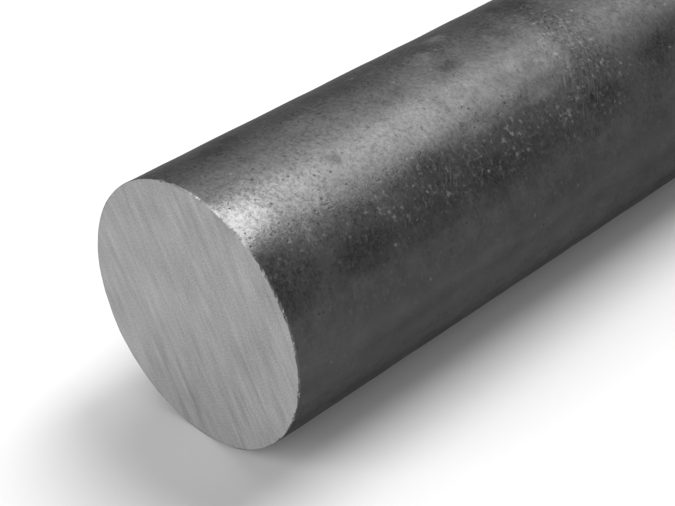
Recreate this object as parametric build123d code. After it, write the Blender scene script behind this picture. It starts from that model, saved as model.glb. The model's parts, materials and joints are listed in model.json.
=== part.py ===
"""Round steel bar stock: hot rolled, sawn square at both ends and lightly deburred.

The bar is one piece of metal, so it is one solid. It lies on a level surface along Y.
The origin is on that surface, below the middle of the bar. +Z is up. Sizes are in millimetres.
"""

from build123d import *

import os

# Driving dimensions
bar_diameter = 80.0
bar_length = 1000.0
front_arris = 0.4  # leg of the 45 degree edge break round the sawn face at -Y
back_arris = 0.4  # the same at +Y

# Worked out from them
bar_radius = bar_diameter / 2
axis_height = bar_radius  # the skin touches the surface along one line
front_face_y = -bar_length / 2
back_face_y = bar_length / 2


def rolled_bar():
    """The rolled length: a disc at the front face, pushed along the bar to the back face."""
    front_plane = Plane(
        origin=(0, front_face_y, axis_height), x_dir=(1, 0, 0), z_dir=(0, 1, 0)
    )
    with BuildPart() as bar:
        with BuildSketch(front_plane):
            Circle(bar_radius)
        extrude(amount=back_face_y - front_face_y)
    return bar.part


def with_broken_edges(bar):
    """The bar with the sharp edge that the saw leaves round each end taken off."""
    rims = bar.edges().filter_by(GeomType.CIRCLE).sort_by(Axis.Y)
    bar = chamfer(rims[0], front_arris)
    rims = bar.edges().filter_by(GeomType.CIRCLE).sort_by(Axis.Y)
    return chamfer(rims[-1], back_arris)


round_bar = with_broken_edges(rolled_bar())
round_bar.label = "round_bar"

os.makedirs("parts", exist_ok=True)
export_step(round_bar, "parts/round_bar.step")
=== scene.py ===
"""The look of a round bar of hot-rolled steel: dark scale on the rolled skin, bare saw cuts on both ends.

Lengths are metres in the part's own frame: Y runs along the bar, Z is up, and the bar lies on z = 0.
An angle round the bar is 0 at the top and grows towards +X.
"""

import json
import logging
import math
from dataclasses import dataclass, field
from enum import Enum
from typing import Any, Sequence, Union

import bpy
import numpy as np
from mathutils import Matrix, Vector


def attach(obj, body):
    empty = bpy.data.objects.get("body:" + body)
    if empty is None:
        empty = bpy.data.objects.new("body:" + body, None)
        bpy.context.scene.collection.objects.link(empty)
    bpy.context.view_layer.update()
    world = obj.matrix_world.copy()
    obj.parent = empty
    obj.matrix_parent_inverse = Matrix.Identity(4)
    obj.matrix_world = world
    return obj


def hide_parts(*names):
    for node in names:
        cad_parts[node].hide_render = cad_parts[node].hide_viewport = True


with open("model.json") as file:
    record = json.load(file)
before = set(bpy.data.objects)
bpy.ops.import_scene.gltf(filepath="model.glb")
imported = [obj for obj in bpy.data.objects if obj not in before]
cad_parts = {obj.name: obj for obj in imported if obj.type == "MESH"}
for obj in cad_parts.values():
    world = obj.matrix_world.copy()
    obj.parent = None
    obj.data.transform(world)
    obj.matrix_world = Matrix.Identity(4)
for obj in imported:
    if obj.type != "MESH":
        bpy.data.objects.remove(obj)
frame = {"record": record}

LOG = logging.getLogger("round_bar")
MM = 0.001
FULL_TURN = 2 * math.pi

Pair = tuple[float, float]
Triple = tuple[float, float, float]


# ---------------------------------------------------------------- shader expressions


class Wire:
    """One output of a shader node. Arithmetic on it adds Math nodes to its graph."""

    def __init__(self, graph: "Graph", socket: bpy.types.NodeSocket) -> None:
        """Keeps the graph that the socket belongs to and the socket."""
        self.graph = graph
        self.socket = socket

    def __add__(self, other: "Term") -> "Wire":
        """self + other."""
        return self.graph.math("ADD", self, other)

    __radd__ = __add__

    def __sub__(self, other: "Term") -> "Wire":
        """self - other."""
        return self.graph.math("SUBTRACT", self, other)

    def __rsub__(self, other: "Term") -> "Wire":
        """other - self."""
        return self.graph.math("SUBTRACT", other, self)

    def __mul__(self, other: "Term") -> "Wire":
        """self * other."""
        return self.graph.math("MULTIPLY", self, other)

    __rmul__ = __mul__

    def at_most(self, limit: "Term") -> "Wire":
        """The smaller of this and the limit."""
        return self.graph.math("MINIMUM", self, limit)

    def at_least(self, limit: "Term") -> "Wire":
        """The larger of this and the limit."""
        return self.graph.math("MAXIMUM", self, limit)

    def between(self, low: float, high: float) -> "Wire":
        """low where this is 0, high where it is 1, and even in between."""
        return self * (high - low) + low

    def ramp(self, low: float, high: float) -> "Wire":
        """A smooth step.

        Args:
            low: Where it is 0. It may be over high.
            high: Where it is 1.

        Returns:
            The step, from 0 to 1.
        """
        settings = {"interpolation_type": "SMOOTHSTEP"}
        inputs = {"Value": self, "From Min": low, "From Max": high, "To Min": 0.0, "To Max": 1.0}
        return self.graph.node("ShaderNodeMapRange", settings, inputs)


Term = Union[Wire, float]
MIX_FACTOR, MIX_FIRST, MIX_SECOND = 0, 6, 7  # numbers, as a Mix node's sockets share their names
DOT_LEAST = 0.3  # the strength of the faintest dot
DOT_CORE = 0.1  # the share of a dot's radius over which it is at full strength


class Graph:
    """The node tree of one material or of the world, written as expressions."""

    def __init__(self, tree: bpy.types.NodeTree) -> None:
        """Empties the tree, to be filled by the calls that follow."""
        tree.nodes.clear()
        self.tree = tree

    def node(
        self,
        kind: str,
        settings: dict[str, Any] | None = None,
        inputs: dict[Any, Any] | None = None,
        output: str | int = 0,
    ) -> Wire:
        """Adds one node.

        Args:
            kind: The node's type, such as "ShaderNodeTexNoise".
            settings: Properties of the node, set before its sockets.
            inputs: Socket name or number to a Wire, or to a plain value.
            output: Name or number of the output to return.

        Returns:
            The chosen output, or the first input of a node that has no outputs.
        """
        made = self.tree.nodes.new(kind)
        for name, value in (settings or {}).items():
            setattr(made, name, value)
        for name, value in (inputs or {}).items():
            if isinstance(value, Wire):
                self.tree.links.new(value.socket, made.inputs[name])
            else:
                made.inputs[name].default_value = value
        if not made.outputs:
            return Wire(self, made.inputs[0])
        outputs = [s for s in made.outputs if s.enabled] if isinstance(output, int) else made.outputs
        return Wire(self, outputs[output])

    def surface(self, shader: Wire) -> None:
        """Ends a material's tree with this shader."""
        self.node("ShaderNodeOutputMaterial", {}, {"Surface": shader})

    def math(self, operation: str, first: Term, second: Term) -> Wire:
        """A Math node on two values."""
        return self.node("ShaderNodeMath", {"operation": operation}, {0: first, 1: second})

    def part(self, vector: Wire, axis: str) -> Wire:
        """One axis of a vector, "X", "Y" or "Z"."""
        return self.node("ShaderNodeSeparateXYZ", {}, {"Vector": vector}, axis)

    def attribute(self, name: str, output: str = "Fac") -> Wire:
        """A value that the mesh keeps on its points."""
        return self.node("ShaderNodeAttribute", {"attribute_name": name}, output=output)

    def noise(self, where: Wire, scale: float, detail: float, roughness: float) -> Wire:
        """Noise from 0 to 1 at a place, with that many cells to the place's unit."""
        inputs = {"Vector": where, "Scale": scale, "Detail": detail, "Roughness": roughness}
        return self.node("ShaderNodeTexNoise", {"noise_dimensions": "3D"}, inputs)

    def warped(self, where: Wire, scale: float, reach: float) -> Wire:
        """where + 2 * reach * noise, which makes round things uneven.

        Args:
            where: The place.
            scale: How many cells of noise there are to the place's unit.
            reach: How far the noise moves it each way along an axis, about a shift that is the same
                everywhere.

        Returns:
            The moved place.
        """
        inputs = {"Vector": where, "Scale": scale, "Detail": 2.0}
        shift = self.node("ShaderNodeTexNoise", {}, inputs, "Color")
        settings = {"operation": "MULTIPLY_ADD"}
        return self.node("ShaderNodeVectorMath", settings, {0: shift, 1: (2 * reach,) * 3, 2: where})

    def dots(self, where: Wire, scale: float, size: float, share: Term) -> Wire:
        """Scattered soft dots: full over a small core, each with a strength of its own, and 0 outside.

        Args:
            where: The place to look at.
            scale: How many cells there are to the place's unit. A cell has one point.
            size: The radius of a dot, in cells.
            share: How many of the cells have a dot, from 0 to 1.

        Returns:
            The dots.
        """
        distance = self.node("ShaderNodeTexVoronoi", {}, {"Vector": where, "Scale": scale}, "Distance")
        cell = Wire(self, distance.socket.node.outputs["Color"])
        chosen = self.math("LESS_THAN", self.part(cell, "X"), share)
        strength = self.part(cell, "Y").between(DOT_LEAST, 1.0)
        return distance.ramp(size, size * DOT_CORE) * chosen * strength

    def stretched(self, where: Wire, sizes: Sequence[float], turn: Sequence[float]) -> Wire:
        """A place measured along axes that are turned by Euler angles, each in a unit of its own size."""
        inputs = {"Vector": where, "Scale": sizes, "Rotation": turn}
        return self.node("ShaderNodeMapping", {"vector_type": "TEXTURE"}, inputs)

    def blend(self, amount: Term, first: Any, second: Any) -> Wire:
        """A colour between two colours, by an amount that is cut off at 0 and at 1."""
        inputs = {MIX_FACTOR: amount, MIX_FIRST: first, MIX_SECOND: second}
        return self.node("ShaderNodeMix", {"data_type": "RGBA", "clamp_factor": True}, inputs)

    def bump(self, height_mm: Wire) -> Wire:
        """A normal from a height in millimetres."""
        inputs = {"Height": height_mm, "Distance": MM, "Strength": 1.0}
        return self.node("ShaderNodeBump", {}, inputs, "Normal")


def grey(value: float) -> tuple[float, float, float, float]:
    """A neutral colour, linear."""
    return (value, value, value, 1.0)


def new_material(name: str) -> tuple[bpy.types.Material, Graph]:
    """Starts a material.

    Args:
        name: The material's name.

    Returns:
        The material, with an empty node tree, and the graph that fills the tree.
    """
    made = bpy.data.materials.new(name)
    made.use_nodes = True
    return made, Graph(made.node_tree)


@dataclass(frozen=True)
class Texture:
    """Noise of one size, or drawn out to a size along each axis of a turned frame."""

    size: float | Triple
    detail: float = 2.0
    roughness: float = 0.6
    turn: Triple = (0.0, 0.0, 0.0)

    def at(self, graph: Graph, place: Wire) -> Wire:
        """The noise at a place.

        Args:
            graph: The graph that the noise is added to.
            place: The place, in metres.

        Returns:
            The noise, from 0 to 1.
        """
        if isinstance(self.size, tuple):
            place = graph.stretched(place, self.size, self.turn)
            return graph.noise(place, 1.0, self.detail, self.roughness)
        return graph.noise(place, 1 / self.size, self.detail, self.roughness)


@dataclass(frozen=True)
class Dots:
    """Scattered dots. A cell can hold one, whose radius is in cells.

    crowding is the share of the cells that have a dot where wear is full, and strength is how much of
    the dots' colour shows.
    """

    cell: float
    radius: float
    crowding: float
    strength: float

    def at(self, graph: Graph, place: Wire, share: Term) -> Wire:
        """The dots at a place, where that share of the cells has one."""
        return graph.dots(place, 1 / self.cell, self.radius, share)


@dataclass(frozen=True)
class Ragged:
    """How soft wear gets a ragged outline: weighted noises are added to it, then the sum is stepped.

    The result is faded out where the wear itself goes from whole down to 0.
    """

    weights: tuple[float, ...]
    step: Pair
    whole: float

    def mask(self, wear: Wire, *noises: Wire) -> Wire:
        """The worn share of the surface.

        Args:
            wear: The soft wear, from 0 to 1.
            noises: One noise about 0 for each of the weights.

        Returns:
            The share, from 0 to 1.
        """
        total = wear
        for weight, noise in zip(self.weights, noises):
            total = total + noise * weight
        return total.ramp(*self.step) * wear.ramp(0.0, self.whole)


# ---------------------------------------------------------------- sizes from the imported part


@dataclass(frozen=True)
class BarSizes:
    """The bar's sizes, as its mounts state them."""

    radius: float
    axis_height: float
    front: float
    back: float
    arris: float

    @classmethod
    def from_record(cls, record: dict[str, Any]) -> "BarSizes":
        """Reads the round skin and the two sawn faces.

        Args:
            record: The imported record.

        Returns:
            The sizes in metres.
        """
        mounts = {mount["name"]: mount for mount in record["mounts"]}
        skin = mounts["round_skin"]
        front = mounts["front_sawn_face"]["pos_m"][1]
        back = mounts["back_sawn_face"]["pos_m"][1]
        arris = (back - front - skin["dims"]["length_mm"] * MM) / 2
        return cls(skin["dims"]["r_mm"] * MM, skin["pos_m"][2], front, back, arris)

    def place(self, angle: np.ndarray, radius: np.ndarray, along: np.ndarray) -> np.ndarray:
        """Points at an angle and radius about the bar's axis: x = r sin(angle), z = axis + r cos(angle)."""
        return np.stack((radius * np.sin(angle), along, self.axis_height + radius * np.cos(angle)), axis=-1)


# ---------------------------------------------------------------- relief of the steel


@dataclass(frozen=True)
class RollingWaves:
    """The slow unevenness that hot rolling leaves: many shallow cosines that close round the bar."""

    count: int = 70
    shortest: float = 12 * MM
    longest: float = 70 * MM
    amplitude: float = 0.035 * MM
    seed: int = 11

    def crest(self) -> float:
        """A height that the waves all but never pass, as amplitude is their root mean square."""
        return 3.0 * self.amplitude

    def height(self, angle: np.ndarray, along: np.ndarray, radius: float) -> np.ndarray:
        """amplitude * sqrt(2 / count) * sum of cos(turns * angle + rate * along + phase).

        Args:
            angle: Angle round the bar of each point.
            along: Place along the bar of each point.
            radius: The bar's radius.

        Returns:
            The height of each point, about 0 on average.
        """
        rng = np.random.default_rng(self.seed)
        lengths = np.exp(rng.uniform(math.log(self.shortest), math.log(self.longest), self.count))
        headings = rng.uniform(0, FULL_TURN, self.count)
        phases = rng.uniform(0, FULL_TURN, self.count)
        turns = np.round(FULL_TURN * radius / lengths * np.cos(headings))
        rates = FULL_TURN / lengths * np.sin(headings)
        height = np.zeros_like(angle)
        for turn, rate, phase in zip(turns, rates, phases):
            height += np.cos(turn * angle + rate * along + phase)
        return self.amplitude * math.sqrt(2 / self.count) * height


@dataclass(frozen=True)
class ScaleDents:
    """Shallow round dents where scale was rolled in, at most one to a cell of a net over the skin.

    A dent's width is width times a number from width_span, and its depth is depth times the square of
    a number from depth_span. share is the share of the cells that have a dent.
    """

    cell: float = 9 * MM
    depth: float = 0.10 * MM
    depth_span: Pair = (0.2, 1.0)
    width: float = 1.6 * MM
    width_span: Pair = (0.5, 1.4)
    share: float = 0.45
    seed: int = 23

    def height(self, angle: np.ndarray, along: np.ndarray, sizes: BarSizes) -> np.ndarray:
        """Minus the sum, over the dents near a point, of depth * exp(-(distance / width) ** 2).

        Args:
            angle: Angle round the bar of each point.
            along: Place along the bar of each point.
            sizes: The bar's sizes.

        Returns:
            The height of each point, 0 or less.
        """
        rng = np.random.default_rng(self.seed)
        around = round(FULL_TURN * sizes.radius / self.cell)
        length = math.ceil((sizes.back - sizes.front) / self.cell) + 1
        shift = rng.uniform(0, 1, (2, around, length))
        depth = self.depth * rng.uniform(*self.depth_span, (around, length)) ** 2
        depth *= rng.uniform(0, 1, (around, length)) < self.share
        width = self.width * rng.uniform(*self.width_span, (around, length))
        column = angle / FULL_TURN * around
        row = (along - sizes.front) / self.cell
        height = np.zeros_like(angle)
        for step_c in (-1, 0, 1):
            for step_r in (-1, 0, 1):
                cell_c, cell_r = np.floor(column) + step_c, np.floor(row) + step_r
                i = cell_c.astype(int) % around
                j = cell_r.astype(int).clip(0, length - 1)
                gap_c = (column - cell_c - shift[0, i, j]) * self.cell
                gap_r = (row - cell_r - shift[1, i, j]) * self.cell
                height -= depth[i, j] * np.exp(-(gap_c**2 + gap_r**2) / width[i, j] ** 2)
        return height


@dataclass(frozen=True)
class SawCut:
    """The lines that a band saw leaves: nearly parallel cosines of uneven pitch, over a slow wander.

    lean is the angle from +X towards +Z of the direction across the lines, and fan is how much the
    lines differ in direction.
    """

    lean: float
    seed: int
    fine_pitch: Pair = (1.3 * MM, 3.2 * MM)
    slow_pitch: Pair = (9 * MM, 26 * MM)
    fine_height: float = 0.0095 * MM
    slow_height: float = 0.040 * MM
    count: int = 46
    fan: float = math.radians(0.9)

    def axes(self) -> tuple[np.ndarray, np.ndarray]:
        """Unit vectors in (x, z): across the saw lines, and along them."""
        across = np.array([math.cos(self.lean), math.sin(self.lean)])
        return across, np.array([across[1], -across[0]])

    def depth(self, across: np.ndarray, along: np.ndarray) -> np.ndarray:
        """How far the cut lies inside the end plane: a sum of cosines, lifted so that none is negative.

        Args:
            across: Place across the saw lines.
            along: Place along them.

        Returns:
            The depth of each point, 0 or more.
        """
        rng = np.random.default_rng(self.seed)
        total = np.zeros_like(across)
        for pitch, height in ((self.fine_pitch, self.fine_height), (self.slow_pitch, self.slow_height)):
            lengths = rng.uniform(*pitch, self.count)
            turned = rng.normal(0, self.fan, self.count)
            phases = rng.uniform(0, FULL_TURN, self.count)
            for length, turn, phase in zip(lengths, turned, phases):
                run = across * math.cos(turn) + along * math.sin(turn)
                total += height * math.sqrt(2 / self.count) * np.cos(FULL_TURN / length * run + phase)
        return total - total.min()


@dataclass(frozen=True)
class RaggedArris:
    """The edge of a sawn end: a narrow slope, bare on one side and torn in small chips beside it.

    The sides are angles round the bar. width is how far the slope reaches from the sharp corner, and
    least is the share of it that the wavering always leaves. The bare side lies where the key light's
    highlight falls: the sawn steel paints a highlight there, and shade on the rest of the edge.
    """

    width: float
    seed: int
    unevenness: float = 0.12
    least: float = 0.25
    waver_turns: tuple[int, ...] = (7, 13, 22, 37, 61, 97)
    chips: int = 130
    torn_side: float = math.radians(58)
    torn_spread: float = math.radians(32)
    chip_length: Pair = (0.8 * MM, 2.8 * MM)
    chip_depth: Pair = (0.02 * MM, 0.62 * MM)
    bare_side: float = math.radians(13)
    bare_spread: float = math.radians(24)
    tight: float = 0.5

    def bareness(self, angle: np.ndarray) -> np.ndarray:
        """How bare of scale the edge is, which also places its painted highlight and shade: exp(-d ** 4),
        where d is 1 at bare_spread from the bare side.
        """
        gap = (angle - self.bare_side + math.pi) % FULL_TURN - math.pi
        return np.exp(-((gap / self.bare_spread) ** 4))

    def reach(self, angle: np.ndarray, radius: float) -> np.ndarray:
        """How far the broken edge reaches from the sharp corner: its width, wavering, plus the chips.

        The width is full on the bare side, and tight * width on the other. It wavers by a sum of cosines
        whose root mean square is about unevenness * width. A chip is a tooth: it is deepest where it
        starts, and runs out evenly over its length.

        Args:
            angle: Angle round the bar of each point.
            radius: The bar's radius.

        Returns:
            The reach at each angle.
        """
        rng = np.random.default_rng(self.seed)
        waver = np.zeros_like(angle)
        for turns in self.waver_turns:
            waver += rng.normal() * np.cos(turns * angle + rng.uniform(0, FULL_TURN))
        spread = math.sqrt(len(self.waver_turns) / 2)
        width = self.width * (self.tight + (1 - self.tight) * self.bareness(angle))
        reach = width * (1 + self.unevenness * waver / spread).clip(self.least, None)
        starts = rng.normal(self.torn_side, self.torn_spread, self.chips)
        lengths = rng.uniform(*self.chip_length, self.chips)
        depths = self.chip_depth[0] + np.ptp(self.chip_depth) * rng.uniform(0, 1, self.chips) ** 2
        runs = (angle[:, None] - starts) % FULL_TURN * radius / lengths
        bites = depths * (1 - runs).clip(0, None)
        return reach + bites.max(axis=1)


# ---------------------------------------------------------------- wear, and painted highlight, light and shade, as soft patches on the skin


@dataclass(frozen=True)
class Patch:
    """A soft oval on the skin. Angles are in degrees, and lengths are in radii from the front end."""

    angle: float
    along: float
    half_angle: float
    half_along: float
    strength: float = 1.0

    def cover(self, degrees: np.ndarray, along: np.ndarray) -> np.ndarray:
        """strength * exp(-d ** 4), where d is 1 on the oval's edge.

        Args:
            degrees: Angle of each point.
            along: Distance of each point from the front end, in radii.

        Returns:
            The patch's strength at each point.
        """
        across = ((degrees - self.angle + 180) % 360 - 180) / self.half_angle
        run = (along - self.along) / self.half_along
        return self.strength * np.exp(-((across**2 + run**2) ** 2))


# In some layers, placed patches paint highlight, light and shade on the skin as well as wear.
@dataclass(frozen=True)
class WearLayer:
    """One kind of wear: the patches that are placed near the front, and others strewn at random.

    half_angle, half_along and strength are the spans that the strewn ones' sizes are drawn from, and
    first is how far from the front they begin, in radii. rim is the width of the wear along both rims,
    in radii, and 0 if there is none.
    """

    name: str
    placed: tuple[Patch, ...]
    strewn: int
    half_angle: Pair
    half_along: Pair
    strength: Pair
    seed: int
    first: float = 5.0
    rim: float = 0.0

    def patches(self, length: float) -> list[Patch]:
        """The placed patches and the strewn ones, which keep to the stretch that has none placed.

        Args:
            length: The bar's length in radii.

        Returns:
            All patches of this layer.
        """
        rng = np.random.default_rng(self.seed)
        strewn = [
            Patch(
                rng.uniform(0, 360),
                rng.uniform(self.first, length),
                rng.uniform(*self.half_angle),
                rng.uniform(*self.half_along),
                rng.uniform(*self.strength),
            )
            for _ in range(self.strewn)
        ]
        return [*self.placed, *strewn]

    def cover(self, degrees: np.ndarray, along: np.ndarray, length: float) -> np.ndarray:
        """1 minus the product of 1 - cover over all patches, so that patches join softly.

        Both rims also have a band of cover exp(-d ** 2), where d is 1 at the width of the rim wear.

        Args:
            degrees: Angle of each point.
            along: Distance of each point from the front end, in radii.
            length: The bar's length in radii.

        Returns:
            The layer's cover at each point, from 0 to 1.
        """
        bare = np.ones_like(degrees)
        if self.rim:
            bare -= np.exp(-((np.minimum(along, length - along) / self.rim) ** 2))
        for patch in self.patches(length):
            bare *= 1 - patch.cover(degrees, along)
        return 1 - bare


WEAR = (
    WearLayer(
        name="rubbed",
        placed=(
            # The first three patches brighten the front end where the highlight is hottest, and the next
            # two the highlight's shoulders: painted highlight as well as rubbed scale.
            Patch(26, 0.0, 13, 0.31, 0.64),
            Patch(26, 0.0, 8, 0.11, 0.45),
            Patch(23, 0.45, 14, 0.4, 0.35),
            Patch(36, 0.70, 7, 0.22, 0.3),
            Patch(9, 0.10, 7, 0.50, 0.27),
        ),
        strewn=14,
        half_angle=(6, 16),
        half_along=(0.1, 0.5),
        strength=(0.1, 0.35),
        seed=41,
        rim=0.016,
    ),
    WearLayer(
        name="pitted",
        placed=(
            Patch(48, 2.05, 11, 1.95, 0.55),
            Patch(22, 3.42, 34, 0.30, 0.55),
            Patch(48, 3.45, 14, 0.24, 0.8),
            Patch(38, 0.32, 9, 0.28, 0.5),
            Patch(45, 1.15, 8, 0.30, 0.6),
            Patch(52, 1.70, 5, 0.14, 0.5),
            Patch(49, 2.45, 7, 0.35, 0.7),
            Patch(55, 2.92, 9, 0.10, 0.6),
            Patch(37, 1.56, 4, 0.12, 0.7),
        ),
        strewn=46,
        half_angle=(8, 60),
        half_along=(0.12, 0.55),
        strength=(0.3, 0.9),
        seed=43,
    ),
    WearLayer(
        name="sooty",
        placed=(
            Patch(56, 0.78, 7, 0.26, 0.8),
            Patch(56, 2.16, 6, 0.28, 0.8),
            Patch(51, 3.40, 5, 0.20, 0.8),
            Patch(44, 4.14, 6, 0.26, 0.8),
            Patch(47, 1.65, 10, 0.45, 0.55),
            Patch(43, 2.15, 5, 0.60, 0.3),
            Patch(5, 1.80, 5, 0.16, 0.48),
            Patch(3, 3.08, 4, 0.14, 0.30),
            Patch(6, 2.42, 4, 0.13, 0.5),
            Patch(-17, 0.56, 8, 0.30, 0.5),
            Patch(20, 3.55, 24, 0.24, 0.6),
            Patch(20, 1.00, 4, 0.12, 0.35),
            Patch(26, 2.66, 4, 0.16, 0.28),
            Patch(0, 0.60, 5, 0.15, 0.35),
            Patch(47, 0.18, 5, 0.14, 0.6),
            # The next three patches are long bands of painted shade: they darken the dark zone under the
            # highlight, and dim the highlight along the bar away from the front end.
            Patch(53, 2.0, 6, 2.4, 0.50),
            Patch(22, 3.9, 28, 2.1, 0.38),
            Patch(60, 1.9, 6, 2.2, 0.45),
            Patch(51, 0.16, 15, 0.24, 1.0),
            Patch(39, 1.58, 4, 0.14, 0.6),
            # A long band of painted shade: darker round the side of the bar below the dark zone, along the
            # front of the bar.
            Patch(74, 2.0, 13, 3.4, 0.54),
            Patch(32, 3.38, 8, 0.11, 0.6),
            Patch(-12, 3.50, 12, 0.22, 0.7),
            Patch(-3, 2.95, 7, 0.30, 0.4),
            Patch(20, 2.05, 4, 0.22, 0.22),
            Patch(-20, 1.45, 4, 0.18, 0.35),
        ),
        strewn=60,
        half_angle=(5, 22),
        half_along=(0.15, 0.8),
        strength=(0.2, 0.65),
        seed=47,
    ),
    WearLayer(
        name="dusty",
        placed=(
            Patch(-17, 2.72, 4, 0.07, 0.35),
            Patch(-18, 2.66, 9, 0.18, 0.3),
            Patch(-7, 2.34, 7, 0.15, 0.42),
            Patch(-12, 3.30, 6, 0.16, 0.2),
            # A long band of painted light: lighter round the bar's lower side, along the front of the bar.
            Patch(105, 2.2, 13, 3.6, 0.38),
            Patch(-6, 1.08, 7, 0.24, 0.33),
            # From here on, the patches lie in the highlight and along its edges, and lighten it there:
            # painted highlight as well as dust.
            Patch(37, 2.84, 4, 0.26, 0.4),
            Patch(38, 2.30, 4, 0.30, 0.3),
            Patch(41, 0.55, 5, 0.16, 0.35),
            Patch(10, 0.70, 7, 0.62, 0.26),
            Patch(33, 0.80, 5, 0.16, 0.28),
            Patch(36, 2.13, 4, 0.14, 0.32),
            Patch(40, 2.82, 4, 0.14, 0.25),
            Patch(25, 1.42, 4, 0.16, 0.22),
            Patch(33, 0.20, 4, 0.10, 0.25),
            Patch(25, 3.00, 5, 0.16, 0.20),
        ),
        strewn=60,
        half_angle=(5, 24),
        half_along=(0.15, 0.8),
        strength=(0.08, 0.32),
        seed=53,
    ),
    WearLayer(
        name="scored",
        placed=(
            Patch(52, 2.92, 10, 0.09, 0.9),
            Patch(44, 3.20, 14, 0.18, 0.9),
            Patch(22, 3.40, 26, 0.26, 0.5),
            Patch(50, 1.70, 9, 0.10, 0.6),
            Patch(65, 3.16, 5, 0.06, 0.7),
            Patch(40, 0.95, 10, 0.55, 0.25),
        ),
        strewn=40,
        half_angle=(6, 40),
        half_along=(0.05, 0.3),
        strength=(0.3, 0.9),
        seed=61,
    ),
    WearLayer(
        name="smooth",
        placed=(Patch(92, 1.2, 33, 2.6), Patch(90, 4.6, 30, 2.4), Patch(30, 2.6, 22, 0.40, 0.15)),
        strewn=18,
        half_angle=(10, 40),
        half_along=(1.0, 3.0),
        strength=(0.5, 1.0),
        seed=59,
        first=6.5,
    ),
)


# ---------------------------------------------------------------- the bar's mesh


class Finish(Enum):
    """Which of the bar's two surfaces a face belongs to, by its material's place on the mesh."""

    SKIN = 0
    CUT = 1


@dataclass(frozen=True)
class Zone:
    """A stretch of the skin with one number of columns, and a row pitch that changes evenly along it."""

    start: float
    end: float
    columns: int
    first_pitch: float
    last_pitch: float

    def rows(self) -> np.ndarray:
        """start + (end - start) * (s - pull * s * (1 - s)), where s goes evenly from 0 to 1.

        Returns:
            Places of the rows, with both ends included, spaced as the pitch says.
        """
        mean = (self.first_pitch + self.last_pitch) / 2
        count = max(1, round((self.end - self.start) / mean))
        step = np.linspace(0, 1, count + 1)
        pull = (self.last_pitch - self.first_pitch) / (2 * mean)
        return self.start + (self.end - self.start) * (step - pull * step * (1 - step))


@dataclass
class Shell:
    """A mesh that is collected row by row: points, faces, finishes, and the values kept on the points."""

    points: list[np.ndarray] = field(default_factory=list)
    faces: list[tuple[np.ndarray, Finish]] = field(default_factory=list)
    cut_places: list[np.ndarray] = field(default_factory=list)
    edges: list[np.ndarray] = field(default_factory=list)
    count: int = 0

    def add(
        self, points: np.ndarray, cut_place: np.ndarray | None = None, edge: np.ndarray | None = None
    ) -> np.ndarray:
        """Keeps points and returns their numbers.

        Args:
            points: The points.
            cut_place: Where each lies on a saw cut, if they do.
            edge: On a broken edge, each one's share of the way from the cut to the skin, the edge's
                bareness there, which also places its painted highlight and shade, and 0.

        Returns:
            The numbers that faces use for the points.
        """
        self.points.append(points)
        self.cut_places.append(np.zeros_like(points) if cut_place is None else cut_place)
        self.edges.append(np.zeros_like(points) if edge is None else edge)
        numbers = np.arange(self.count, self.count + len(points))
        self.count += len(points)
        return numbers

    def join(self, low: np.ndarray, high: np.ndarray, finish: Finish) -> None:
        """Closes the band between two rings of points whose numbers are equal or two to one.

        Args:
            low: Point numbers of the ring nearer the front, in order of angle.
            high: Point numbers of the other ring.
            finish: The surface that the band belongs to.
        """
        low_next, high_next = np.roll(low, -1), np.roll(high, -1)
        if len(low) == len(high):
            faces = (low, low_next, high_next, high)
        elif len(low) == 2 * len(high):
            faces = (low[::2], low[1::2], low_next[1::2], high_next, high)
        else:
            faces = (low, low_next, high_next[1::2], high[1::2], high[::2])
        self.faces.append((np.stack(faces, axis=1), finish))


def keep(mesh: bpy.types.Mesh, name: str, values: np.ndarray) -> None:
    """Keeps one number or three on each point of a mesh, for its material to read.

    Args:
        mesh: The mesh.
        name: The attribute's name.
        values: A number for each point, or a row of three.
    """
    kind, key = ("FLOAT", "value") if values.ndim == 1 else ("FLOAT_VECTOR", "vector")
    made = mesh.attributes.new(name, kind, "POINT")
    made.data.foreach_set(key, values.astype(np.float32).ravel())


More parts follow.
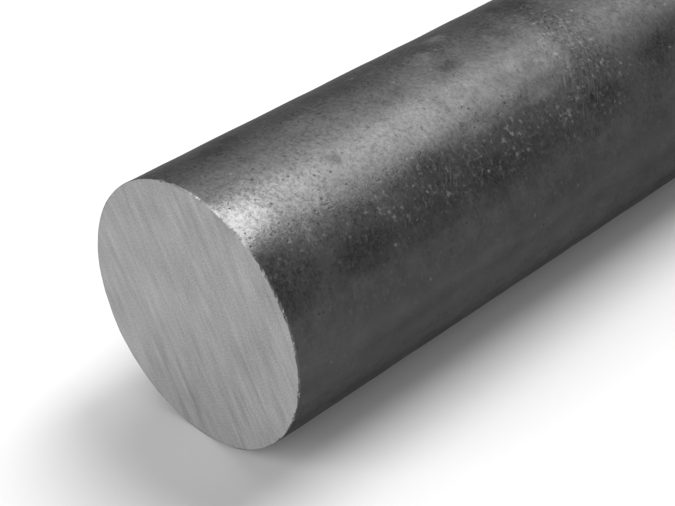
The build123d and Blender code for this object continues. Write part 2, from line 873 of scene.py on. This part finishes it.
@dataclass
class RolledBar:
    """The whole bar as one closed mesh: sawn end, arris, rolled skin, arris, sawn end."""

    sizes: BarSizes
    waves: RollingWaves = field(default_factory=RollingWaves)
    dents: ScaleDents = field(default_factory=ScaleDents)
    front_cut: SawCut = field(default_factory=lambda: SawCut(lean=math.radians(30), seed=5))
    back_cut: SawCut = field(default_factory=lambda: SawCut(lean=math.radians(-18), seed=6))
    rim_columns: int = 640
    chord_points: int = 15
    arris_rows: int = 3
    arris_power: float = 1.5
    tooth_room: float = 0.9 * MM
    sharp_angle: float = math.radians(32)
    name: str = "round_bar_stock"

    def zones(self) -> list[Zone]:
        """The stretches of skin between the two arrises: fine at the ends, coarse along the middle.

        One band of faces closes each gap between two of them, and the gap of tooth_room at an arris.

        Returns:
            The stretches, from front to back.
        """
        first = self.sizes.front + self.sizes.arris
        last = self.sizes.back - self.sizes.arris
        rim, half, quarter = self.rim_columns, self.rim_columns // 2, self.rim_columns // 4
        return [
            Zone(first + self.tooth_room, first + 3 * MM, rim, 0.40 * MM, 0.55 * MM),
            Zone(first + 4 * MM, first + 150 * MM, half, 1.2 * MM, 1.6 * MM),
            Zone(first + 152 * MM, first + 200 * MM, half, 1.8 * MM, 3.4 * MM),
            Zone(first + 204 * MM, last - 104 * MM, quarter, 4.6 * MM, 4.6 * MM),
            Zone(last - 100 * MM, last - 4 * MM, half, 3.6 * MM, 1.2 * MM),
            Zone(last - 3 * MM, last - self.tooth_room, rim, 0.55 * MM, 0.40 * MM),
        ]

    def angles(self, columns: int) -> np.ndarray:
        """The columns' angles. Column 0 lies across the front saw lines, so that they follow the mesh."""
        return math.pi / 2 - self.front_cut.lean + np.arange(columns) * FULL_TURN / columns

    def relief(self, angle: np.ndarray, along: np.ndarray) -> np.ndarray:
        """Height of the skin, never above the true radius.

        Args:
            angle: Angle round the bar of each point.
            along: Place along the bar of each point.

        Returns:
            The height of each point, 0 or less.
        """
        height = self.waves.height(angle, along, self.sizes.radius) - self.waves.crest()
        height += self.dents.height(angle, along, self.sizes)
        return height.clip(None, 0)

    def build(self) -> bpy.types.Object:
        """Makes the mesh and its object.

        Returns:
            The new object, at the origin, with two material places.
        """
        shell = Shell()
        front_arris = RaggedArris(self.sizes.arris, seed=35)
        back_arris = RaggedArris(self.sizes.arris, seed=37)
        front_rings = self.add_end(shell, self.front_cut, front_arris, self.sizes.front, 1)
        skin_rings = self.add_skin(shell)
        back_rings = self.add_end(shell, self.back_cut, back_arris, self.sizes.back, -1)
        rings = front_rings + skin_rings + back_rings[::-1]
        cut_bands = self.arris_rows - 1
        for place, (low, high) in enumerate(zip(rings, rings[1:])):
            is_cut = place < cut_bands or place >= len(rings) - 1 - cut_bands
            shell.join(low, high, Finish.CUT if is_cut else Finish.SKIN)
        return self.to_object(shell)

    def add_skin(self, shell: Shell) -> list[np.ndarray]:
        """Adds the skin's points: radius + relief, at each column of each row.

        Args:
            shell: The mesh that is being collected.

        Returns:
            The point numbers of each ring, from front to back.
        """
        rings = []
        for zone in self.zones():
            angle, along = np.meshgrid(self.angles(zone.columns), zone.rows())
            radius = self.sizes.radius + self.relief(angle, along)
            for row in range(len(along)):
                points = self.sizes.place(angle[row], radius[row], along[row])
                rings.append(shell.add(points))
        return rings

    def add_end(
        self, shell: Shell, cut: SawCut, arris: RaggedArris, plane: float, inward: int
    ) -> list[np.ndarray]:
        """Adds one sawn end: a net of straight chords along the saw lines, and the arris round it.

        The rim's columns stand at equal angles. Each chord joins the two columns that mirror each other
        in the line across the cut, so chord k is at radius * cos(k * step) across and runs along the
        saw lines. Its inner points divide it evenly, and each is set inwards by the cut's depth.

        Args:
            shell: The mesh that is being collected.
            cut: The saw cut of this end.
            arris: The broken edge of this end.
            plane: The end plane's place along the bar.
            inward: 1 if the bar lies towards +Y of this plane, and -1 if it lies towards -Y.

        Returns:
            The point numbers of the arris's rings, from the cut to the skin.
        """
        angle = self.angles(self.rim_columns)
        reach = arris.reach(angle, self.sizes.radius)
        skin_height = self.relief(angle, np.full_like(angle, plane))
        rings = []
        for share in np.linspace(0, 1, self.arris_rows):
            turn = share * math.pi / 2
            radius = self.sizes.radius + skin_height - reach * math.cos(turn) ** self.arris_power
            depth = reach * math.sin(turn) ** self.arris_power
            points = self.sizes.place(angle, radius, np.full_like(angle, plane))
            across, along = self.on_cut(points, cut)
            points[:, 1] += inward * (depth + (1 - share) * cut.depth(across, along))
            cut_place = np.stack((across, along, np.full_like(angle, plane)), axis=1)
            slope = np.full_like(angle, share)
            edge = np.stack((slope, arris.bareness(angle), np.zeros_like(angle)), axis=1)
            rings.append(shell.add(points, cut_place, edge))
        self.add_chords(shell, cut, rings[0], plane, inward)
        return rings

    def on_cut(self, points: np.ndarray, cut: SawCut) -> tuple[np.ndarray, np.ndarray]:
        """Finds where points lie on a saw cut.

        Args:
            points: The points.
            cut: The saw cut.

        Returns:
            Their places across the saw lines and along them, counted from the bar's axis.
        """
        across_axis, along_axis = cut.axes()
        flat = points[..., [0, 2]] - (0, self.sizes.axis_height)
        return flat @ across_axis, flat @ along_axis

    def cut_column(self, cut: SawCut) -> int:
        """The rim column that lies across the saw lines of a cut."""
        turned = self.front_cut.lean - cut.lean
        return round(turned / FULL_TURN * self.rim_columns) % self.rim_columns

    def add_chords(
        self, shell: Shell, cut: SawCut, rim: np.ndarray, plane: float, inward: int
    ) -> None:
        """Fills an end with chords between mirrored columns of its rim, as add_end describes.

        Args:
            shell: The mesh that is being collected.
            cut: The saw cut of this end.
            rim: Point numbers of the cut's outermost ring.
            plane: The end plane's place along the bar.
            inward: 1 if the bar lies towards +Y of this plane, and -1 if it lies towards -Y.
        """
        half = len(rim) // 2
        rim = np.roll(rim, -self.cut_column(cut))
        rim_points = np.concatenate(shell.points)[rim]
        share = np.linspace(0, 1, self.chord_points + 2)[1:-1]
        left, right = rim_points[1:half], rim_points[:half:-1]
        inner = left[:, None] + (right - left)[:, None] * share[:, None]
        across, along = self.on_cut(inner, cut)
        inner[..., 1] = plane + inward * cut.depth(across, along)
        places = np.stack((across, along, np.full_like(across, plane)), axis=-1)
        numbers = shell.add(inner.reshape(-1, 3), places.reshape(-1, 3)).reshape(half - 1, -1)
        net = np.concatenate((rim[1:half, None], numbers, rim[:half:-1, None]), axis=1)
        quads = np.stack((net[:-1, :-1], net[:-1, 1:], net[1:, 1:], net[1:, :-1]), axis=-1).reshape(-1, 4)
        first = np.stack((np.full(net.shape[1] - 1, rim[0]), net[0, 1:], net[0, :-1]), axis=1)
        last = np.stack((np.full(net.shape[1] - 1, rim[half]), net[-1, :-1], net[-1, 1:]), axis=1)
        for faces in (quads, first, last):
            shell.faces.append((faces[:, ::inward], Finish.CUT))

    def to_object(self, shell: Shell) -> bpy.types.Object:
        """Turns the collected rows into a Blender mesh, smooth but for the edge round each cut.

        Args:
            shell: The collected mesh.

        Returns:
            The new object.
        """
        points = np.concatenate(shell.points)
        faces = [face for group, _ in shell.faces for face in group.tolist()]
        finish = np.concatenate([np.full(len(group), kind.value) for group, kind in shell.faces])
        mesh = bpy.data.meshes.new(self.name)
        mesh.from_pydata(points.tolist(), [], faces)
        mesh.polygons.foreach_set("material_index", finish.astype(np.int32))
        mesh.polygons.foreach_set("use_smooth", np.ones(len(faces), bool))
        mesh.set_sharp_from_angle(angle=self.sharp_angle)
        keep(mesh, "cut_place", np.concatenate(shell.cut_places))
        keep(mesh, "edge", np.concatenate(shell.edges))
        degrees = np.degrees(np.arctan2(points[:, 0], points[:, 2] - self.sizes.axis_height))
        along = (points[:, 1] - self.sizes.front) / self.sizes.radius
        length = (self.sizes.back - self.sizes.front) / self.sizes.radius
        for layer in WEAR:
            keep(mesh, layer.name, layer.cover(degrees, along, length))
        made = bpy.data.objects.new(self.name, mesh)
        bpy.context.scene.collection.objects.link(made)
        return made


# ---------------------------------------------------------------- finishes


@dataclass(frozen=True)
class ScaleGround:
    """What the look of mill scale is mixed from: noises about 0, and kinds of wear from 0 to 1, some with
    painted highlight, light and shade in them.
    """

    place: Wire
    grain: Wire
    lumps: Wire
    clumps: Wire
    cloud: Wire
    rubbed: Wire
    pitted: Wire
    sooty: Wire
    dusty: Wire
    scored: Wire
    coarse: Wire


@dataclass(frozen=True)
class MillScale:
    """The dark oxide skin of hot-rolled steel: half metal, grainy, with pits, flecks and worn places, in
    some of which highlight, light and shade are painted.

    Tones are linear greys, and heights are millimetres. A pair of numbers is where a step starts and
    ends, or what a value comes to where the wear or noise that it goes with is 0 and where it is 1.
    """

    name: str = "mill_scale"

    # Tones: the darkest and lightest of the bare scale, where it stands between them if no noise or
    # wear moves it, how far soot and the shade painted with it darken it, and the colours of what lies on
    # it, where rubbed and dusty places also paint highlight and light.
    tone: Pair = (0.02625, 0.12375)
    middle: float = 0.505
    soot_depth: float = 0.29
    pit_tone: float = 0.034
    dusty_tone: float = 0.15
    fleck_tone: float = 0.18
    rubbed_tone: float = 0.105
    edge_tint: float = 0.2

    # How metallic it is, more so in rubbed places, which also paint highlight, and what dust, with the
    # light painted in its places, and flecks leave of that.
    metal: float = 0.45
    rubbed_metal: float = 0.80
    dusty_metal: Pair = (1.0, 0.4)
    fleck_metal: Pair = (1.0, 0.1)

    # Roughness, and what each noise or wear adds to it or takes off.
    roughness: float = 0.30
    cloud_roughness: float = 0.16
    soft_roughness: float = 0.08
    pit_roughness: float = 0.15
    rubbed_polish: float = 0.04

    # What smooth wear leaves of all that is coarse.
    smoothed: Pair = (1.0, 0.28)

    # Fine grain. Its lightest peaks are cut off at grain_top.
    grain: Texture = Texture(1.35 * MM, 3.0, 0.95)
    grain_top: float = 0.085
    grain_tone: float = 1.575
    pitted_grain: float = 0.3
    scored_grain: float = 0.9
    grain_height: Pair = (0.06, 0.12)

    # Lumps, clumps and clouds, each coarser than the one before.
    lump: Texture = Texture(3 * MM, 3.0)
    clump: Texture = Texture(7 * MM, 3.0)
    clump_tone: float = 0.6
    cloud: Texture = Texture(15 * MM, 5.0, 0.62)
    cloud_tone: float = 0.42

    # Fine lines: scuffs run round the bar, and scores lean across them.
    scuff: Texture = Texture((16 * MM, 0.6 * MM, 16 * MM), 3.0, 0.7)
    stray_scuffs: float = 0.2
    scuff_tone: float = 0.6
    scuff_height: float = 0.03
    score: Texture = Texture((16 * MM, 0.6 * MM, 16 * MM), turn=(-0.40, 0.0, -0.44))
    score_step: Pair = (0.54, 0.74)
    score_strength: float = 0.4

    # The outlines of rubbed, sooty and dusty places, with the highlight, shade and light painted in them.
    rub: Ragged = Ragged((2.0, 0.6), (0.0, 1.05), 0.7)
    soot: Ragged = Ragged((1.08,), (0.1, 0.9), 0.3)
    dust: Ragged = Ragged((0.48,), (0.1, 1.0), 0.3)

    # How specks lose their round shape, and how they gather.
    warp: float = 1.2 * MM
    warp_reach: float = 0.5 * MM
    gathered: Pair = (0.10, 1.05)
    gathered_step: Pair = (-0.22, 0.14)
    gathered_sooty: Pair = (1.0, 0.8)

    # Pale specks: uneven crumbs, small grit and large flecks.
    crumb: Texture = Texture(1.6 * MM, 1.0)
    crumb_lift: float = 0.06
    crumb_step: Pair = (0.56, 0.80)
    crumb_strength: Pair = (0.09, 0.915)
    grit: Dots = Dots(1.35 * MM, 0.40, crowding=0.40, strength=0.42)
    fleck: Dots = Dots(2.5 * MM, 0.32, crowding=0.38, strength=0.85)
    stray_flecks: float = 0.02

    # Dark pits.
    pit: Dots = Dots(1.5 * MM, 0.36, crowding=0.85, strength=0.85)
    rubbed_pits: float = 0.5
    stray_pits: float = 0.14
    pit_height: float = 0.06

    def ground(self, graph: Graph) -> ScaleGround:
        """Adds the noises, and reads the wear that the mesh keeps, with the highlight, light and shade
        painted in some of it.

        Args:
            graph: The material's graph.

        Returns:
            The noises and the wear.
        """
        place = graph.node("ShaderNodeTexCoord", output="Object")
        rubbed, pitted, sooty, dusty, scored, smooth = (graph.attribute(layer.name) for layer in WEAR)
        textures = (self.grain, self.lump, self.clump, self.cloud)
        noises = (texture.at(graph, place) - 0.5 for texture in textures)
        coarse = smooth.between(*self.smoothed)
        return ScaleGround(place, *noises, rubbed, pitted, sooty, dusty, scored, coarse)

    def specks(self, graph: Graph, ground: ScaleGround, soot: Wire, scores: Wire) -> tuple[Wire, Wire]:
        """The pale specks and the dark pits. Both gather in clumps where the skin is pitted.

        Args:
            graph: The material's graph.
            ground: The noises and the wear.
            soot: The cover of soot and of the shade painted with it.
            scores: The noise that the scores follow.

        Returns:
            The strongest of crumbs, grit, flecks and scores at each place, and the pits, from 0 to 1.
        """
        warped = graph.warped(ground.place, 1 / self.warp, self.warp_reach)
        gathered = ground.pitted.between(*self.gathered) * ground.clumps.ramp(*self.gathered_step)
        gathered = gathered * ground.coarse * soot.between(*self.gathered_sooty)
        crumbs = (self.crumb.at(graph, warped) + gathered * self.crumb_lift).ramp(*self.crumb_step)
        grit = self.grit.at(graph, warped, gathered * self.grit.crowding)
        share = gathered * self.fleck.crowding + ground.coarse * self.stray_flecks
        flecks = self.fleck.at(graph, warped, share)
        share = ground.pitted * self.pit.crowding + ground.rubbed * self.rubbed_pits + self.stray_pits
        pits = self.pit.at(graph, warped, share * ground.coarse)
        streaks = scores.ramp(*self.score_step) * ground.scored * ground.coarse
        pale = (crumbs * gathered.between(*self.crumb_strength)).at_least(grit * self.grit.strength)
        pale = pale.at_least(flecks * self.fleck.strength).at_least(streaks * self.score_strength)
        return pale, pits

    def mottle(self, ground: ScaleGround, soot: Wire, scuffs: Wire) -> Wire:
        """How light the bare scale is, from 0 to 1.

        Args:
            ground: The noises and the wear.
            soot: The cover of soot and of the shade painted with it.
            scuffs: The fine lines.

        Returns:
            The place between the two tones of the scale.
        """
        pitted = (ground.lumps + ground.clumps * self.clump_tone) * ground.pitted
        grainy = self.grain_tone - ground.pitted * self.pitted_grain + ground.scored * self.scored_grain
        grains = ground.grain.at_most(self.grain_top) * grainy * ground.coarse
        mottle = ground.cloud * self.cloud_tone + scuffs * self.scuff_tone + pitted + grains
        # Sooty places darken the scale: soot, and painted shade under and along the highlight.
        return mottle - soot * self.soot_depth + self.middle

    def material(self) -> bpy.types.Material:
        """Builds the finish as a node material.

        Returns:
            The new material.
        """
        made, graph = new_material(self.name)
        ground = self.ground(graph)
        grain, lumps, coarse = ground.grain, ground.lumps, ground.coarse
        ragged = (lumps + grain + ground.clumps) * coarse
        rub = self.rub.mask(ground.rubbed, grain, lumps)
        soot = self.soot.mask(ground.sooty, ragged)
        dust = self.dust.mask(ground.dusty, ragged)
        scores = self.score.at(graph, ground.place)
        scuffs = (self.scuff.at(graph, ground.place) - 0.5) * (ground.pitted + self.stray_scuffs) * coarse
        scuffs = scuffs + (scores - 0.5) * ground.scored
        flecks, pits = self.specks(graph, ground, soot, scores)
        low, high = self.tone
        colour = graph.blend(self.mottle(ground, soot, scuffs), grey(low), grey(high))
        # Rubbed places turn lighter and more metallic: worn scale, and painted highlight at the front end
        # and on the highlight's shoulders.
        colour = graph.blend(rub, colour, grey(self.rubbed_tone))
        # Dusty places turn lighter: dust, and painted light on the lower side and painted highlight in and
        # along the highlight.
        colour = graph.blend(dust, colour, grey(self.dusty_tone))
        colour = graph.blend(pits * self.pit.strength, colour, grey(self.pit_tone))
        colour = graph.blend(flecks, colour, grey(self.fleck_tone))
        metal = dust.between(*self.dusty_metal) * flecks.between(*self.fleck_metal)
        metal = metal * rub.between(self.metal, self.rubbed_metal)
        roughness = self.roughness + ground.cloud * self.cloud_roughness + pits * self.pit_roughness
        roughness = roughness + (soot + dust) * self.soft_roughness - rub * self.rubbed_polish
        height = grain * ground.pitted.between(*self.grain_height) * coarse
        height = height - pits * self.pit_height + scuffs * self.scuff_height
        shader = graph.node(
            "ShaderNodeBsdfPrincipled",
            {},
            {
                "Base Color": colour,
                "Roughness": roughness,
                "Metallic": metal,
                "Specular IOR Level": 0.0,
                "Specular Tint": grey(self.edge_tint),
                "Normal": graph.bump(height),
            },
        )
        graph.surface(shader)
        return made


@dataclass(frozen=True)
class SawnSteel:
    """Bare steel as a band saw leaves it: streaks along the saw lines, each short and broken.

    The arris round it is burnished on its bare side, where the key light's highlight falls and a painted
    highlight brightens it, and has a crust of scale elsewhere, whose dark colour is also painted shade.
    """

    name: str = "sawn_steel"
    dark: float = 0.190
    light: float = 0.328
    metal: float = 0.40
    roughness: float = 0.50

    # What makes the tone uneven: streaks, clouds, specks, and a slow change along the saw lines, which
    # is painted light and shade that evens out how the face is lit.
    fine: Texture = Texture((0.60 * MM, 7 * MM, MM))
    fine_tone: float = 0.6
    broad: Texture = Texture((2.2 * MM, 18 * MM, MM), roughness=0.5)
    broad_tone: float = 1.4
    broad_roughness: float = 0.2
    streak_height: float = 0.03
    cloud: Texture = Texture(12 * MM, 3.0)
    cloud_tone: float = 0.5
    speck: Texture = Texture(0.5 * MM, 1.0, 0.5)
    speck_tone: float = 1.5
    run_tone: float = 4.6

    # The arris: where it turns bright or crusted, counted from the cut to the skin, and how broken
    # both are by chips. The bright part is burnished steel and painted highlight, and the crust is scale
    # and painted shade.
    chipped: Texture = Texture(2.2 * MM, roughness=0.7)
    bright_slope: Pair = (0.1, 0.6)
    bright_chips: Pair = (0.40, 0.60)
    bright_tone: float = 0.36
    bright_metal: float = 0.55
    bright_polish: float = 0.1
    crust_slope: Pair = (0.0, 0.3)
    crust_chips: Pair = (0.85, 0.45)
    crust_tone: float = 0.055

    def material(self) -> bpy.types.Material:
        """Builds the finish as a node material.

        Returns:
            The new material.
        """
        made, graph = new_material(self.name)
        place, edge = graph.attribute("cut_place", "Vector"), graph.attribute("edge", "Vector")
        textures = (self.fine, self.broad, self.cloud, self.speck)
        fine, broad, cloud, specks = (texture.at(graph, place) - 0.5 for texture in textures)
        tone = fine * self.fine_tone + broad * self.broad_tone + cloud * self.cloud_tone + 0.5
        # The last term is painted light and shade: lighter towards one end of the saw lines, to even out
        # how the face is lit.
        tone = tone + specks * self.speck_tone + graph.part(place, "Y") * self.run_tone
        slope, bare = graph.part(edge, "X"), graph.part(edge, "Y")
        chipped = self.chipped.at(graph, place)
        # Lighter, more metallic and smoother on the side that the key light catches: burnished steel and
        # painted highlight. Dark elsewhere on the edge: a crust of scale and painted shade.
        bright = slope.ramp(*self.bright_slope) * bare * chipped.ramp(*self.bright_chips)
        crust_and_shade = slope.ramp(*self.crust_slope) * (1 - bare) * chipped.ramp(*self.crust_chips)
        colour = graph.blend(tone, grey(self.dark), grey(self.light))
        colour = graph.blend(bright, colour, grey(self.bright_tone))
        colour = graph.blend(crust_and_shade, colour, grey(self.crust_tone))
        shader = graph.node(
            "ShaderNodeBsdfPrincipled",
            {},
            {
                "Base Color": colour,
                "Roughness": self.roughness + broad * self.broad_roughness - bright * self.bright_polish,
                "Metallic": bright.between(self.metal, self.bright_metal),
                "Normal": graph.bump((fine + broad) * self.streak_height),
            },
        )
        graph.surface(shader)
        return made


# ---------------------------------------------------------------- studio


@dataclass(frozen=True)
class SoftLamp:
    """One broad studio light, far enough away to light the whole length of the bar alike.

    towards points from the bar to the light, and width is the light's size in degrees.
    """

    name: str
    towards: Triple
    strength: float
    width: float

    def build(self) -> None:
        """Makes the lamp as a wide sun."""
        lamp = bpy.data.lights.new(self.name, "SUN")
        lamp.energy = self.strength
        lamp.angle = math.radians(self.width)
        made = bpy.data.objects.new(self.name, lamp)
        made.rotation_euler = Vector(self.towards).to_track_quat("Z", "Y").to_euler()
        bpy.context.scene.collection.objects.link(made)


@dataclass(frozen=True)
class Studio:
    """A pale floor, a dim surround, a key light above and behind the bar, and three lights round it."""

    floor_radius: float = 30.0
    floor_sides: int = 64
    floor_tone: float = 0.66
    surround: float = 0.07
    ceiling: float = 0.03
    horizon: float = 0.12
    lamps: tuple[SoftLamp, ...] = (
        SoftLamp("key", (0.015, 0.525, 0.85), 2.75, 36),
        SoftLamp("left", (-0.41, 0.58, 0.70), 1.74, 46),
        SoftLamp("front_fill", (0.0, -0.88, 0.47), 2.7, 60),
        SoftLamp("right_fill", (0.85, -0.20, 0.50), 0.67, 60),
    )

    def build(self) -> None:
        """Makes the floor, the world and the lamps."""
        self.floor()
        self.world()
        for lamp in self.lamps:
            lamp.build()

    def floor(self) -> None:
        """A large round pale floor at z = 0."""
        steps = np.arange(self.floor_sides) * FULL_TURN / self.floor_sides
        ring = np.stack((np.cos(steps), np.sin(steps), np.zeros_like(steps)), axis=1) * self.floor_radius
        mesh = bpy.data.meshes.new("floor")
        mesh.from_pydata(ring.tolist(), [], [list(range(self.floor_sides))])
        floor = bpy.data.objects.new("floor", mesh)
        bpy.context.scene.collection.objects.link(floor)
        material, graph = new_material("pale_floor")
        graph.surface(graph.node("ShaderNodeBsdfDiffuse", {}, {"Color": grey(self.floor_tone)}))
        mesh.materials.append(material)

    def world(self) -> None:
        """White to the camera. Metal and glass see the white horizon under a dark ceiling."""
        world = bpy.data.worlds.new("studio")
        bpy.context.scene.world = world
        world.use_nodes = True
        graph = Graph(world.node_tree)
        height = graph.part(graph.node("ShaderNodeTexCoord", output="Generated"), "Z")
        kinds = ("Is Camera Ray", "Is Glossy Ray", "Is Transmission Ray")
        camera, glossy, clear = (graph.node("ShaderNodeLightPath", output=kind) for kind in kinds)
        mirrored = graph.blend(height.ramp(0.0, self.horizon), grey(1.0), grey(self.ceiling))
        colour = graph.blend((glossy + clear).at_most(1.0), grey(self.surround), mirrored)
        colour = graph.blend(camera, colour, grey(1.0))
        shader = graph.node("ShaderNodeBackground", {}, {"Color": colour, "Strength": 1.0})
        graph.node("ShaderNodeOutputWorld", {}, {"Surface": shader})


@dataclass(frozen=True)
class ProductCamera:
    """A long lens above the front end, looking down along the bar. Its place is in radii of the bar.

    towards is the way it looks.
    """

    place: Triple = (6.775, -5.591, 6.608)
    towards: Triple = (-0.5719, 0.5882, -0.5718)
    lens: float = 87.82
    clip: Pair = (0.01, 100.0)

    def build(self, sizes: BarSizes) -> None:
        """Makes the camera and gives it to the scene.

        Args:
            sizes: The bar's sizes. The camera's place counts from the middle of the front end.
        """
        data = bpy.data.cameras.new("camera")
        data.lens = self.lens
        data.clip_start, data.clip_end = self.clip
        camera = bpy.data.objects.new("camera", data)
        end = Vector((0, sizes.front, sizes.axis_height))
        camera.location = end + Vector(self.place) * sizes.radius
        camera.rotation_mode = "QUATERNION"
        camera.rotation_quaternion = Vector(self.towards).to_track_quat("-Z", "Y")
        bpy.context.scene.collection.objects.link(camera)
        bpy.context.scene.camera = camera


# ---------------------------------------------------------------- assembly


def main() -> None:
    """Builds the bar, its studio and the camera."""
    logging.basicConfig(level=logging.INFO, format="%(name)s: %(message)s")
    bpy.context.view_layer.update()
    sizes = BarSizes.from_record(frame["record"])
    ProductCamera().build(sizes)
    Studio().build()
    bar = RolledBar(sizes).build()
    for finish in (MillScale(), SawnSteel()):
        bar.data.materials.append(finish.material())
    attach(bar, "root")
    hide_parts("round_bar")
    bar.data.calc_loop_triangles()
    LOG.info("%s: %d points, %d triangles", bar.name, len(bar.data.vertices), len(bar.data.loop_triangles))
    bpy.context.scene.view_settings.view_transform = "Standard"


if __name__ == "__main__":
    main()
